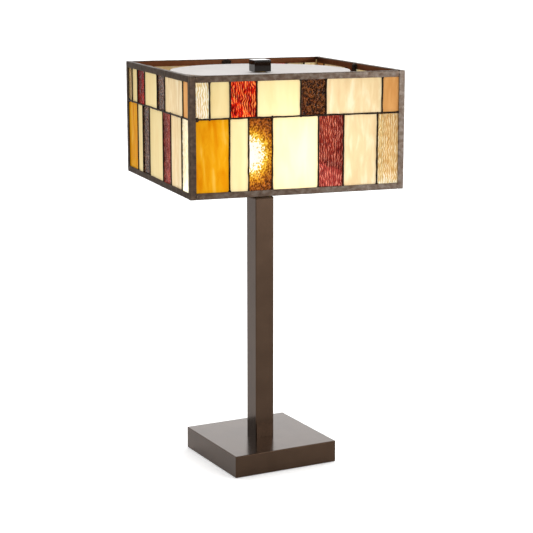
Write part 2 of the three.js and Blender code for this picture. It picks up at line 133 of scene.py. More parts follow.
class Surface:
    """A material with one Principled shader, and the nodes that feed it."""

    def __init__(self, name, **values):
        self.material = bpy.data.materials.new(name)
        self.material.use_nodes = True
        self.nodes = self.material.node_tree.nodes
        self.links = self.material.node_tree.links
        self.shader = self.nodes["Principled BSDF"]
        self.place = self.nodes.new("ShaderNodeTexCoord").outputs["Object"]
        for socket, value in values.items():
            self.shader.inputs[socket.replace("_", " ")].default_value = value

    def feed(self, socket, output):
        self.links.new(output, self.shader.inputs[socket])
        return self

    def noise(self, size, stretch=1, detail=3, shift=0, distortion=0):
        """Noise with lumps of size mm, drawn out along Z by stretch."""
        mapping = self.nodes.new("ShaderNodeMapping")
        mapping.inputs["Scale"].default_value = (1, 1, 1 / stretch)
        mapping.inputs["Location"].default_value = (shift, shift, shift)
        self.links.new(self.place, mapping.inputs["Vector"])
        node = self.nodes.new("ShaderNodeTexNoise")
        node.inputs["Scale"].default_value = 1 / (size * MM)
        node.inputs["Detail"].default_value = detail
        node.inputs["Distortion"].default_value = distortion
        self.links.new(mapping.outputs["Vector"], node.inputs["Vector"])
        return node.outputs["Fac"]

    def math(self, operation, first, second):
        node = self.nodes.new("ShaderNodeMath")
        node.operation = operation
        for socket, value in zip(node.inputs, (first, second)):
            if isinstance(value, (int, float)):
                socket.default_value = value
            else:
                self.links.new(value, socket)
        return node.outputs["Value"]

    def spread(self, value, low_end, high_end, start=0.3, stop=0.7):
        """Value, which runs from start to stop, made to run from low_end to high_end."""
        node = self.nodes.new("ShaderNodeMapRange")
        ends = {"From Min": start, "From Max": stop, "To Min": low_end, "To Max": high_end}
        for socket, number in ends.items():
            node.inputs[socket].default_value = number
        self.links.new(value, node.inputs["Value"])
        return node.outputs["Result"]

    def ramp(self, value, *stops):
        """Colours blended along value; stops are (position, colour)."""
        node = self.nodes.new("ShaderNodeValToRGB")
        elements = node.color_ramp.elements
        while len(elements) < len(stops):
            elements.new(0.5)
        for element, (position, colour) in zip(elements, stops):
            element.position = position
            element.color = colour
        self.links.new(value, node.inputs["Fac"])
        return node.outputs["Color"]

    def attribute(self, name):
        """A value kept at each of the mesh's points."""
        node = self.nodes.new("ShaderNodeAttribute")
        node.attribute_name = name
        return node.outputs["Fac"]

    def bump(self, height, depth):
        """Relief of depth mm."""
        node = self.nodes.new("ShaderNodeBump")
        node.inputs["Distance"].default_value = depth * MM
        self.links.new(height, node.inputs["Height"])
        return self.feed("Normal", node.outputs["Normal"])

    def distance(self, point):
        """Distance in mm from a point given in mm."""
        node = self.nodes.new("ShaderNodeVectorMath")
        node.operation = "DISTANCE"
        self.links.new(self.place, node.inputs[0])
        node.inputs[1].default_value = Vector(point) * MM
        return self.math("MULTIPLY", node.outputs["Value"], 1 / MM)

    def lamp_light(self, strength):
        """The bulb's light on a panel of the shade: it falls off with distance and slant."""
        nearness = self.math("DIVIDE", GLASS_OUTER, self.distance(LAMP_CENTRE))
        full = self.math("MULTIPLY", self.math("POWER", nearness, 3.5), strength)
        return self.math("MULTIPLY", full, self.attribute("lit"))


def powder_coat(name, rough):
    coat = Surface(name, Metallic=0.9, Specular_IOR_Level=0.2)
    mottle = coat.noise(30, detail=4)
    coat.feed("Base Color", coat.ramp(mottle, (0.3, srgb(59, 45, 35)), (0.7, srgb(67, 52, 41))))
    coat.feed("Roughness", coat.spread(coat.noise(12, shift=3), rough, rough + 0.04))
    return coat.bump(coat.noise(0.7, detail=1), 0.006).material


def finial_paint():
    paint = Surface("black_bronze_paint", Specular_IOR_Level=0.4)
    paint.feed("Base Color", paint.ramp(paint.noise(6), (0.3, srgb(20, 13, 8)), (0.7, srgb(27, 19, 12))))
    paint.feed("Roughness", paint.spread(paint.noise(5, shift=7), 0.05, 0.1))
    return paint.bump(paint.noise(0.8, detail=1), 0.002).material


def patina():
    """Chemical patina on brass, with painted light: warm brown where the bulb's light is painted inside the
    frame, near black to pewter grey outside as painted shade and painted reflection.
    """
    metal = Surface("dark_patina_and_painted_light", Metallic=0.9, Specular_IOR_Level=0.2, Specular_Tint=(0.5, 0.48, 0.46, 1))
    mottle = metal.spread(metal.noise(6, stretch=0.7, detail=5, distortion=0.5), 0.7, 1.3)
    painted_light_tone = metal.math("MULTIPLY", metal.attribute("painted_light_tone"), mottle)
    # painted light: the two lowest stops are the bulb's warm light painted inside the frame, the dark stop
    # is painted shade and the upper stops are painted reflection; the mottle is the patina's own variation
    stops = (
        (0.05, srgb(96, 58, 38)),
        (0.14, srgb(110, 69, 45)),
        (0.28, srgb(46, 39, 36)),
        (0.5, srgb(76, 62, 52)),
        (0.9, srgb(107, 99, 92)),
    )
    metal.feed("Base Color", metal.ramp(painted_light_tone, *stops))
    metal.feed("Roughness", metal.spread(metal.noise(5, shift=2), 0.32, 0.46))
    return metal.bump(metal.noise(4, detail=4), 0.08).material


def lead_patina():
    tint = (0.4, 0.36, 0.34, 1)
    metal = Surface("black_solder", Metallic=0.7, Specular_IOR_Level=0.2, Specular_Tint=tint)
    mottle = metal.noise(4, detail=5)
    metal.feed("Base Color", metal.ramp(mottle, (0.3, srgb(22, 16, 13)), (0.75, srgb(56, 45, 37))))
    metal.feed("Roughness", metal.spread(metal.noise(3, shift=5), 0.3, 0.5))
    return metal.bump(metal.noise(1.5, detail=4), 0.1).material


def white_paint():
    paint = Surface("white_enamel", Specular_IOR_Level=0.08)
    stops = ((0.3, srgb(188, 183, 180)), (0.7, srgb(196, 191, 188)))
    paint.feed("Base Color", paint.ramp(paint.noise(40), *stops))
    paint.feed("Roughness", paint.spread(paint.noise(8, shift=1), 0.5, 0.62))
    return paint.bump(paint.noise(1.2, detail=1), 0.02).material


def metal(name, dark, light, grain, rough):
    """A bare metal whose colour, gloss and fine relief vary with a grain of that size in mm."""
    bare = Surface(name, Metallic=1)
    bare.feed("Base Color", bare.ramp(bare.noise(grain * 6, detail=4), (0.3, dark), (0.7, light)))
    bare.feed("Roughness", bare.spread(bare.noise(grain * 2, shift=4), rough - 0.06, rough + 0.08))
    return bare.bump(bare.noise(grain, detail=2), 0.02).material


def moulded(name, dark, light, grain, rough, depth):
    """Plastic, rubber or ceramic with a fine surface grain of that size and depth in mm."""
    plastic = Surface(name)
    plastic.feed("Base Color", plastic.ramp(plastic.noise(grain * 12), (0.3, dark), (0.7, light)))
    plastic.feed("Roughness", plastic.spread(plastic.noise(grain * 5, shift=6), rough - 0.05, rough + 0.07))
    return plastic.bump(plastic.noise(grain, detail=2), depth).material


def bulb_glass():
    """Pearl glass, lit from inside: warm and brightest round the filament."""
    pearl = Surface("pearl_bulb", Roughness=0.35, Specular_IOR_Level=0.3)
    stops = ((0.3, srgb(204, 188, 158)), (0.7, srgb(214, 200, 174)))
    pearl.feed("Base Color", pearl.ramp(pearl.noise(10), *stops))
    away = pearl.spread(pearl.distance(BULB_CENTRE - Vector((0, 0, 5))), 0, 1, 16, 28)
    pearl.feed("Emission Color", pearl.ramp(away, (0, (1, 0.78, 0.4, 1)), (1, (1, 0.66, 0.3, 1))))
    pearl.feed("Emission Strength", pearl.spread(away, 0.5, 0.2, 0, 1))
    return pearl.material


def opal_glass(name, stops, wisp, glow, lamp):
    """Opalescent glass with wisps of size wisp mm; lamp is how strongly the bulb lights it."""
    opal = Surface(name, IOR=1.1, Transmission_Weight=0.1, Specular_IOR_Level=0.1)
    wisps = opal.noise(wisp, stretch=4, detail=4, distortion=0.6)
    opal.feed("Base Color", opal.ramp(wisps, *stops))
    opal.feed("Roughness", opal.spread(opal.noise(14, shift=8), 0.35, 0.45))
    opal.feed("Emission Color", opal.ramp(wisps, *glow))
    # painted light: the bulb's light is painted into the glass as emission, made dimmer towards the leads
    # as painted shade
    glow_shaded_at_leads = opal.spread(opal.attribute("edge"), 0.72, 1, 0, 1)
    opal.feed("Emission Strength", opal.math("MULTIPLY", opal.lamp_light(lamp), glow_shaded_at_leads))
    return opal.bump(opal.noise(9, stretch=3, detail=2), 0.1).material


def cathedral_glass(name, tint, glow, lamp, rough=0.05, through=0.95):
    """Coloured clear glass: tint and glow run from its valleys to its ridges, less far in a dim pane."""
    glass = Surface(name, IOR=1.1, Roughness=rough, Transmission_Weight=through)
    ridges = glass.math("MULTIPLY", glass.attribute("relief"), 0.75)
    clouds = glass.math("MULTIPLY", glass.noise(9), 0.25)
    shade = glass.math("MULTIPLY", glass.math("ADD", ridges, clouds), glass.attribute("lit"))
    glass.feed("Base Color", glass.ramp(shade, *tint))
    glass.feed("Emission Color", glass.ramp(shade, *glow))
    glass.feed("Emission Strength", glass.lamp_light(lamp))
    return glass.bump(glass.noise(1.4, stretch=2, detail=2), 0.03).material


def smoke_glass():
    """Dark brown hammered glass, with the glare of the bulb where the bulb stands close behind it."""
    glass = Surface("smoke_hammered", IOR=1.12, Roughness=0.08, Transmission_Weight=0.6)
    relief = glass.attribute("relief")
    glare = glass.attribute("glare")
    tint = ((0.15, srgb(26, 12, 7)), (0.5, srgb(66, 37, 19)), (0.85, srgb(152, 92, 48)))
    glass.feed("Base Color", glass.ramp(relief, *tint))
    glint = glass.math("MULTIPLY", glare, glass.spread(relief, 0.45, 1.5, 0.1, 0.9))
    colours = (
        (0.02, (0.02, 0.006, 0.001, 1)),
        (0.2, (0.7, 0.17, 0.004, 1)),
        (0.4, (1, 0.46, 0.01, 1)),
        (0.58, (1, 0.8, 0.07, 1)),
        (0.72, (1, 1, 0.9, 1)),
    )
    glass.feed("Emission Color", glass.ramp(glint, *colours))
    glass.feed("Emission Strength", glass.spread(glint, 0.02, 1, 0.02, 0.6))
    return glass.material


MATERIALS = {
    "bronze": powder_coat("bronze_powder_coat", 0.17),
    "matt_bronze": powder_coat("matt_bronze_coat", 0.6),
    "finial_bronze": finial_paint(),
    "patina": patina(),
    "solder": lead_patina(),
    "white_paint": white_paint(),
    "cast_iron": moulded("raw_cast_iron", srgb(52, 52, 54), srgb(74, 73, 73), 0.8, 0.7, 0.2),
    "zinc": metal("zinc_plate", srgb(168, 170, 176), srgb(200, 201, 205), 0.5, 0.32),
    "brass": metal("lacquered_brass", srgb(178, 138, 72), srgb(214, 174, 104), 0.6, 0.24),
    "black_plastic": moulded("black_bakelite", srgb(20, 19, 18), srgb(34, 32, 31), 0.5, 0.35, 0.02),
    "ceramic": moulded("glazed_ceramic", srgb(226, 221, 208), srgb(240, 236, 226), 1.5, 0.25, 0.02),
    "foam_rubber": moulded("foam_rubber", srgb(20, 20, 20), srgb(36, 35, 34), 0.6, 0.85, 0.25),
    "pearl_glass": bulb_glass(),
    "cream": opal_glass(
        "cream_opal",
        [(0.3, srgb(198, 170, 108)), (0.7, srgb(206, 184, 124))],
        16,
        [(0.3, (1, 0.9, 0.58, 1)), (0.7, (1, 0.96, 0.7, 1))],
        0.7,
    ),
    "wispy": opal_glass(
        "wispy_opal",
        [(0.3, srgb(208, 182, 136)), (0.5, srgb(216, 194, 148)), (0.68, srgb(230, 214, 180))],
        7,
        [(0.3, (1, 0.7, 0.4, 1)), (0.7, (1, 0.79, 0.52, 1))],
        0.33,
    ),
    "caramel": opal_glass(
        "caramel_opal",
        [(0.3, srgb(184, 126, 66)), (0.7, srgb(208, 154, 92))],
        10,
        [(0.3, (1, 0.46, 0.16, 1)), (0.7, (1, 0.58, 0.25, 1))],
        0.23,
    ),
    "amber": opal_glass(
        "amber_opal",
        [(0.3, srgb(180, 104, 2)), (0.56, srgb(198, 134, 20)), (0.74, srgb(208, 152, 44))],
        9,
        [(0.3, (1, 0.38, 0.0, 1)), (0.52, (1, 0.54, 0.0, 1)), (0.72, (1, 0.72, 0.12, 1))],
        0.62,
    ),
    "clear": cathedral_glass(
        "clear_ripple",
        [(0.1, srgb(190, 154, 98)), (0.4, srgb(222, 200, 150)), (0.7, srgb(242, 240, 226))],
        [(0.1, (0.5, 0.34, 0.13, 1)), (0.4, (0.9, 0.76, 0.42, 1)), (0.75, (1, 0.97, 0.74, 1))],
        0.55,
        rough=0.16,
        through=0.6,
    ),
    "red": cathedral_glass(
        "red_ripple",
        [(0.15, srgb(96, 2, 2)), (0.5, srgb(200, 16, 8)), (0.8, srgb(250, 130, 66))],
        [(0.2, (0.04, 0.0, 0.0, 1)), (0.5, (0.5, 0.02, 0.006, 1)), (0.8, (1, 0.36, 0.08, 1))],
        1.3,
    ),
    "burgundy": cathedral_glass(
        "burgundy_ripple",
        [(0.15, srgb(92, 30, 27)), (0.5, srgb(152, 56, 48)), (0.8, srgb(204, 136, 110))],
        [(0.2, (0.07, 0.008, 0.006, 1)), (0.5, (0.27, 0.035, 0.025, 1)), (0.8, (0.62, 0.24, 0.16, 1))],
        0.55,
    ),
    "smoke": smoke_glass(),
}


# ---------- shapes, in millimetres, as (points, faces) ----------
def loft(rings, closed=False):
    """A skin over rings of equally many points; its ends are capped, unless it closes into a torus."""
    count = len(rings[0])
    points = [p for ring in rings for p in ring]
    faces = []
    for i in range(len(rings) if closed else len(rings) - 1):
        a = i * count
        b = (i + 1) % len(rings) * count
        faces += [(a + j, a + (j + 1) % count, b + (j + 1) % count, b + j) for j in range(count)]
    if not closed:
        faces.append(tuple(range(count)))
        faces.append(tuple(range(len(points) - count, len(points))))
    return points, faces


def combine(*shapes):
    points, faces = [], []
    for more_points, more_faces in shapes:
        base = len(points)
        points += more_points
        faces += [tuple(base + i for i in face) for face in more_faces]
    return points, faces


def moved(shape, x=0, y=0, z=0):
    return [Vector(p) + Vector((x, y, z)) for p in shape[0]], shape[1]


def rounded(outline, steps=3):
    """A closed outline of (x, y, radius) corners as (x, y) points, each corner rounded to its radius."""
    points = []
    for i, (x, y, radius) in enumerate(outline):
        corner = Vector((x, y))
        if radius == 0:
            points.append(corner)
            continue
        before = (Vector(outline[i - 1][:2]) - corner).normalized()
        after = (Vector(outline[(i + 1) % len(outline)][:2]) - corner).normalized()
        half = before.angle(after) / 2
        centre = corner + (before + after).normalized() * radius / math.sin(half)
        start = corner + before * radius / math.tan(half) - centre
        end = corner + after * radius / math.tan(half) - centre
        points += [centre + start.lerp(end, k / steps).normalized() * radius for k in range(steps + 1)]
    return points


def around(radius, angle, z=0):
    """The point at a radius and an angle round the Z axis."""
    return Vector((radius * math.cos(angle), radius * math.sin(angle), z))


def circle(radius, z, sides=48):
    return [around(radius, k * math.tau / sides, z) for k in range(sides)]


def square(half, z, corner, steps=5):
    """A square ring round the Z axis with rounded corners; a corner as large as half makes it a circle."""
    points = []
    for k in range(4):
        turn = math.pi / 4 + k * math.pi / 2
        middle = around((half - corner) * math.sqrt(2), turn, z)
        angles = [turn - math.pi / 4 + math.pi / 2 * j / steps for j in range(steps + 1)]
        points += [middle + around(corner, angle) for angle in angles]
    return points


def turned(outline, sides=48, closed=True):
    """An outline of (radius, z) points turned round the Z axis."""
    return loft([circle(r, z, sides) for r, z in outline], closed)


def ball(centre, radii, sides=14):
    """An ellipsoid, a little lumpy."""
    rings = []
    for k in range(1, sides // 2):
        lift = math.pi * k / (sides // 2)
        ring = circle(math.sin(lift), -math.cos(lift), sides)
        rings.append([Vector(centre) + p * Vector(radii) for p in ring])
    points, faces = loft(rings)
    return [p + noise.noise_vector(p / 2.5) * min(radii) * 0.35 for p in points], faces


def swept(path, section_at):
    """Closed (u, v) sections carried along a path in the XZ plane; v runs along Y."""
    side = Vector((0, 1, 0))
    rings = []
    for i, point in enumerate(path):
        ahead = (path[min(i + 1, len(path) - 1)] - path[max(i - 1, 0)]).normalized()
        across = side.cross(ahead)
        rings.append([point + across * u + side * v for u, v in section_at(point)])
    return loft(rings)


def spline(points, steps):
    """A smooth curve through points, with steps to each stretch."""
    ends = [points[0] * 2 - points[1], *points, points[-1] * 2 - points[-2]]
    curve = []
    for a, b, c, d in zip(ends, ends[1:], ends[2:], ends[3:]):
        for k in range(steps):
            t = k / steps
            bend = (a * 2 - b * 5 + c * 4 - d) * t**2
            curve.append((b * 2 + (c - a) * t + bend + (b * 3 - a - c * 3 + d) * t**3) / 2)
    return [*curve, points[-1]]


# ---------- pieces ----------
def add_piece(name, shape, finish, body, stands_for=(), turn=0, sharp=40):
    """A mesh object from a shape, turned about Z, that rides on a body and stands for CAD nodes."""
    place = Matrix.Rotation(turn, 4, "Z")
    mesh = bpy.data.meshes.new(name)
    mesh.from_pydata([place @ (Vector(p) * MM) for p in shape[0]], [], shape[1])
    built = bmesh.new()
    built.from_mesh(mesh)
    bmesh.ops.recalc_face_normals(built, faces=built.faces)
    built.to_mesh(mesh)
    built.free()
    for label, values in (shape[2] if len(shape) > 2 else {}).items():
        mesh.attributes.new(label, "FLOAT", "POINT").data.foreach_set("value", values)
    mesh.materials.append(MATERIALS[finish])
    mesh.polygons.foreach_set("use_smooth", [True] * len(mesh.polygons))
    mesh.set_sharp_from_angle(angle=math.radians(sharp))
    piece = bpy.data.objects.new(name, mesh)
    bpy.context.scene.collection.objects.link(piece)
    if len(mesh.polygons) < 5000:
        flatten = piece.modifiers.new("flat_faces", "WEIGHTED_NORMAL")
        flatten.weight = 100
        flatten.keep_sharp = True
    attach(piece, body)
    if stands_for:
        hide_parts(*stands_for)
    return piece


def paint_node(node, finish):
    """A better material on a CAD node that is shown as it is."""
    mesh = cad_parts[node].data
    mesh.materials.clear()
    mesh.materials.append(MATERIALS[finish])


def panel_turn(k):
    return SHADE_TURN + k * math.pi / 2


# ---------- base and stem ----------
def make_base():
    cover_low, cover_high = low("base_cover"), high("base_cover")
    half, top, bottom = cover_high.x, cover_high.z, cover_low.z
    wall = 1.6
    outline = rounded(
        [
            (half, bottom, 0.3),
            (half, top, 0.8),
            (ROD_HOLE_R, top, 0),
            (ROD_HOLE_R, top - wall, 0),
            (half - wall, top - wall, 0.8),
            (half - wall, bottom, 0.2),
        ],
        4,
    )
    corner = 0.9
    rings = [square(h, z, max(0.4, h - half + corner) if h > ROD_HOLE_R else h) for h, z in outline]
    cover = add_piece("base_cover_shell", loft(rings, True), "bronze", "stand", ["base_cover"])
    cut_round_hole(cover, Vector((0, half, (low("cord_gland").z + high("cord_gland").z) / 2)), 5)
    paint_node("base_weight", "cast_iron")
    for node in ("base_plate", "base_washer", "base_nut", "threaded_rod"):
        paint_node(node, "zinc")
    pad_half = high("foot_pad").x
    pad = [square(pad_half - inset, z, 3) for inset, z in ((0.3, 0), (0, 0.3), (0, 1.2), (0.3, 1.5))]
    add_piece("foam_foot_pad", loft(pad), "foam_rubber", "stand", ["foot_pad"])
    make_gland()


def cut_round_hole(piece, centre, radius):
    """A hole along Y through one wall."""
    drill = turned([(radius, -4), (radius, 4)], 32, closed=False)
    points = [Vector((p.x, p.z, p.y)) + centre for p in drill[0]]
    mesh = bpy.data.meshes.new("drill")
    mesh.from_pydata([p * MM for p in points], [], drill[1])
    built = bmesh.new()
    built.from_mesh(mesh)
    bmesh.ops.recalc_face_normals(built, faces=built.faces)
    built.to_mesh(mesh)
    built.free()
    cutter = bpy.data.objects.new("drill", mesh)
    bpy.context.scene.collection.objects.link(cutter)
    cut = piece.modifiers.new("hole", "BOOLEAN")
    cut.object = cutter
    cut.operation = "DIFFERENCE"
    cut.solver = "EXACT"
    bpy.context.view_layer.update()
    done = bpy.data.meshes.new_from_object(piece.evaluated_get(bpy.context.evaluated_depsgraph_get()))
    piece.modifiers.remove(cut)
    piece.data = done
    bpy.data.objects.remove(cutter)


def make_gland():
    gland_low, gland_high = low("cord_gland"), high("cord_gland")
    back = high("base_cover").y
    outline = rounded(
        [
            (3.75, gland_low.y - back, 0.3),
            (5.5, gland_low.y - back, 0.3),
            (5.5, -1.9, 0.1),
            (4.7, -1.9, 0),
            (4.7, 0.3, 0),
            (6, 0.3, 0.1),
            (6, gland_high.y - back, 0.6),
            (3.75, gland_high.y - back, 0.5),
        ],
    )
    points, faces = turned(outline, 40)
    middle = (gland_low.z + gland_high.z) / 2
    points = [Vector((p.x, back + p.z, middle + p.y)) for p in points]
    add_piece("cord_bushing", (points, faces), "black_plastic", "stand", ["cord_gland"])


def make_stem():
    half, bottom, top = high("stem").x, low("stem").z, high("stem").z
    wall = 1.2
    corner = 1.1
    outline = [(0, bottom), (0, top), (wall, top), (wall, bottom)]
    rings = [square(half - inset, z, corner - inset * 0.7) for inset, z in outline]
    add_piece("stem_tube", loft(rings, True), "bronze", "stand", ["stem"])
    cap_top = high("stem_cap").z
    edge = 0.6
    cap = [
        (half, top, corner),
        (half, cap_top - edge, corner),
        (half - edge * 0.3, cap_top - edge * 0.3, corner),
        (half - edge, cap_top, corner - 0.3),
        (ROD_HOLE_R, cap_top, ROD_HOLE_R),
        (ROD_HOLE_R, top, ROD_HOLE_R),
    ]
    lid = loft([square(*ring) for ring in cap], True)
    add_piece("stem_lid", lid, "matt_bronze", "stand", ["stem_cap"])


# ---------- harp ----------
def harp_path():
    """The harp's wire, as in the frame: straight feet, a belly round the bulb and a flat top."""
    foot_x = high("harp_ferrule_right").x - FERRULE_R
    foot, top = low("harp_loop").z, high("harp_loop").z - WIRE_R
    leg = [
        (foot_x, foot),
        (foot_x, foot + 9),
        (foot_x, foot + 18),
        (34, BULB_CENTRE.z - 12),
        (39, BULB_CENTRE.z + 5),
        (39.5, BULB_CENTRE.z + 23),
        (35, top - 36.5),
        (25.5, top - 18.5),
        (15, top - 6.5),
        (7, top - 0.6),
    ]
    left = [Vector((-x, 0, z)) for x, z in leg]
    right = [Vector((x, 0, z)) for x, z in reversed(leg)]
    return [*left, Vector((0, 0, top)), *right]


def make_harp():
    section = [p.xy for p in circle(WIRE_R, 0, 16)]
    wire = swept(spline(harp_path(), 8), lambda point: section)
    add_piece("harp_wire", wire, "brass", "harp", ["harp_loop"])
    for side in ("left", "right"):
        node = "harp_ferrule_" + side
        add_piece("ferrule_" + side, ferrule(node), "brass", "ferrule_" + side, [node])
    stud_low, stud_high = low("harp_stud"), high("harp_stud")
    seat_top = stud_low.z + 3
    half_pitch = 0.5
    count = int((stud_high.z - seat_top - 1) / half_pitch)
    outline = [(7.4, stud_low.z), (8, stud_low.z + 0.5), (8, seat_top - 0.5), (7.5, seat_top)]
    outline.append((STUD_R, seat_top))
    outline += [(STUD_R - 0.3 * (k % 2), seat_top + 0.6 + half_pitch * k) for k in range(count)]
    outline.append((2.4, stud_high.z))
    add_piece("harp_top_stud", turned(outline, 32, closed=False), "brass", "harp", ["harp_stud"])
    make_saddle()


def ferrule(node):
    middle = (low(node).x + high(node).x) / 2
    bottom, top = low(node).z, high(node).z
    outer, bore = FERRULE_R, 2.2
    outline = [(bore, bottom), (outer - 0.5, bottom), (outer, bottom + 0.6)]
    for k in range(4):
        groove = bottom + 3 + k * 0.9
        outline += [(outer, groove), (outer - 0.25, groove + 0.25), (outer, groove + 0.5)]
    outline += [(outer, top - 2.2), (outer - 0.9, top - 0.4), (outer - 1.1, top), (bore, top)]
    return moved(turned(outline, 28), x=middle)


def make_saddle():
    """A strip bent up at both ends, wide in the middle and narrow at the ends, with a pin on each."""
    saddle_low, saddle_high = low("harp_saddle"), high("harp_saddle")
    foot_x = saddle_high.x - BRASS_THICK / 2
    base = saddle_low.z + BRASS_THICK / 2
    arm_top = saddle_low.z + 8
    bend = 2.2
    middle = Vector((-foot_x + bend, 0, base + bend))
    path = [Vector((-foot_x, 0, arm_top))]
    for k in range(9):
        angle = math.pi + math.pi / 2 * k / 8
        path.append(middle + Vector((bend * math.cos(angle), 0, bend * math.sin(angle))))
    path.append(Vector((0, 0, base)))
    path += [Vector((-p.x, 0, p.z)) for p in reversed(path[:-1])]

    def section_at(point):
        thick = BRASS_THICK / 2
        wide = 4 if abs(point.x) > foot_x - 0.1 else 6
        corners = [(-thick, -wide), (thick, -wide), (thick, wide), (-thick, wide)]
        return rounded([(*corner, 0.4) for corner in corners], 2)

    pins = []
    for side in (-1, 1):
        pin = [(WIRE_R, arm_top - 5), (WIRE_R, saddle_high.z - 0.4), (WIRE_R - 0.4, saddle_high.z)]
        pins.append(moved(turned(pin, 20, closed=False), x=side * foot_x))
    strip = combine(swept(path, section_at), *pins)
    add_piece("saddle_strip", strip, "brass", "stand", ["harp_saddle"])


# ---------- lampholder and bulb ----------
def make_lampholder():
    radius = high("lampholder_cap").x
    make_holder_cap(radius)
    make_holder_skirt(radius)
    shell_low, shell_high = low("lampholder_screw_shell"), high("lampholder_screw_shell")
    shell = threaded_tube(14.5, 14.05, shell_low.z, shell_high.z)
    add_piece("holder_shell", shell, "brass", "stand", ["lampholder_screw_shell"])
    paint_node("lampholder_core", "ceramic")
    paint_node("lampholder_contact", "brass")


def make_holder_cap(radius):
    bottom, seam = low("lampholder_cap").z, high("lampholder_cap").z
    core = low("lampholder_core").z
    outline = rounded(
        [
            (ROD_HOLE_R, bottom, 0),
            (8.5, bottom, 1),
            (10, bottom + 1.8, 0.6),
            (radius - 3, bottom + 2.2, 2),
            (radius, bottom + 5.5, 2),
            (radius, seam, 0.3),
            (radius - HOLDER_WALL, seam, 0.2),
            (radius - HOLDER_WALL, core + 2.5, 0.5),
            (radius - 4, core - GAP, 0.5),
            (ROD_HOLE_R, core - GAP, 0),
        ],
    )
    add_piece("holder_cap", turned(outline, 64), "black_plastic", "stand", ["lampholder_cap"])


def make_holder_skirt(radius):
    """The skirt, with seven grip ridges round it."""
    start, rim = low("lampholder_skirt").z, high("lampholder_skirt").z
    mouth = 15.4
    outline = [(radius - HOLDER_WALL, start), (radius - 0.3, start), (radius, start + 0.3)]
    outline += [(radius, start + 3), (radius - 0.8, start + 4)]
    for k in range(7):
        z = start + 5 + k * 1.9
        ridge = ((1.3, 0), (0.9, 0.5), (0.3, 0.8), (0.9, 1.2))
        outline += [(radius - inset, z + rise) for inset, rise in ridge]
    outline += [(radius - 1.4, rim - 2), (radius - 2.4, rim), (mouth, rim), (mouth, rim - 1.8)]
    outline.append((radius - HOLDER_WALL - 0.8, rim - 3))
    add_piece("holder_skirt", turned(outline, 64), "black_plastic", "stand", ["lampholder_skirt"])


def helix_ring(radius, z, depth, sides=48):
    """One ring of a rolled screw thread."""
    ring = []
    for k in range(sides):
        angle = k * math.tau / sides
        wave = math.cos(angle - math.tau * z / THREAD_PITCH)
        ring.append(around(radius + depth * wave, angle, z))
    return ring


def threaded_tube(outer, inner, bottom, top):
    steps = 40
    heights = [bottom + (top - bottom) * k / steps for k in range(steps + 1)]
    rings = [helix_ring(outer, z, 0.25) for z in heights]
    rings += [helix_ring(inner, z, 0.15) for z in reversed(heights)]
    return loft(rings, True)


def make_bulb():
    neck, top = low("bulb_glass").z, high("bulb_glass").z
    centre = top - BULB_R
    outline = [(12, neck), (12.4, neck + 0.6), (12.5, neck + 3)]
    start = -math.acos(17 / BULB_R)
    outline += [
        (BULB_R * math.cos(a), centre + BULB_R * math.sin(a))
        for a in (start + (math.pi / 2 - start) * k / 26 for k in range(26))
    ]
    outline.append((0.4, top))
    add_piece("bulb_globe", turned(outline, 64, closed=False), "pearl_glass", "bulb", ["bulb_glass"])
    cap_low, cap_high = low("bulb_cap").z, high("bulb_cap").z
    steps = 44
    heights = [cap_low + 4 + (cap_high - cap_low - 5) * k / steps for k in range(steps + 1)]
    rings = [circle(r, cap_low + rise) for r, rise in ((8, 0), (8.6, 0.6), (11.4, 2.8), (12.5, 3.6))]
    rings += [helix_ring(12.75, z, 0.4) for z in heights]
    rings += [circle(13.0, cap_high - 0.7), circle(12.9, cap_high)]
    add_piece("bulb_screw_cap", loft(rings), "zinc", "bulb", ["bulb_cap"])
    insulator = [(5, cap_low - 0.15), (7.6, cap_low + 0.2), (7.9, cap_low + 0.5)]
    add_piece("bulb_insulator", turned(insulator, 40, closed=False), "black_plastic", "bulb")
    tip_low, tip_high = low("bulb_contact").z, high("bulb_contact").z
    tip = [(2.2, tip_low), (3.6, tip_low + 0.4), (4.5, tip_low + 1.2)]
    tip += [(4.8, tip_high - 0.1), (4.6, tip_high)]
    add_piece("bulb_tip_contact", turned(tip, 32, closed=False), "zinc", "bulb_tip", ["bulb_contact"])


# ---------- shade ----------
def stations(start, stop, pitch):
    count = max(2, round(abs(stop - start) / pitch))
    return [start + (stop - start) * k / count for k in range(count + 1)]


def with_painted_light(shape, k):
    """Adds painted light to the patina of panel k's metal, as a tone at each point: lowest inside the
    frame, where the bulb's warm light is painted on; dark on the left face and on top of the frame as
    painted shade; lighter towards the right end of the front as a painted reflection; light on the right
    and back faces; darker along the seams with the posts.
    """
    points, faces = shape
    spin = Matrix.Rotation(k * math.pi / 2, 3, "Z")
    painted_light_tones = []
    for p in points:
        place = spin @ p / HALF
        if place.y < -0.985:
            painted_light_tone = 0.57 + 0.09 * place.x
        elif place.x < -0.985:
            painted_light_tone = 0.36
        elif max(place.x, place.y) > 0.985:
            painted_light_tone = 0.6
        else:
            painted_light_tone = 0.36 if p.z > SHADE_TOP - 0.6 else 0.1
        seam = abs(abs(p.x) - POST_INNER) if p.y < -POST_INNER else 9
        painted_light_tones.append(painted_light_tone - max(0, painted_light_tone - 0.33) * math.exp(-((seam / 0.7) ** 2)))
    return points, faces, {"painted_light_tone": painted_light_tones}


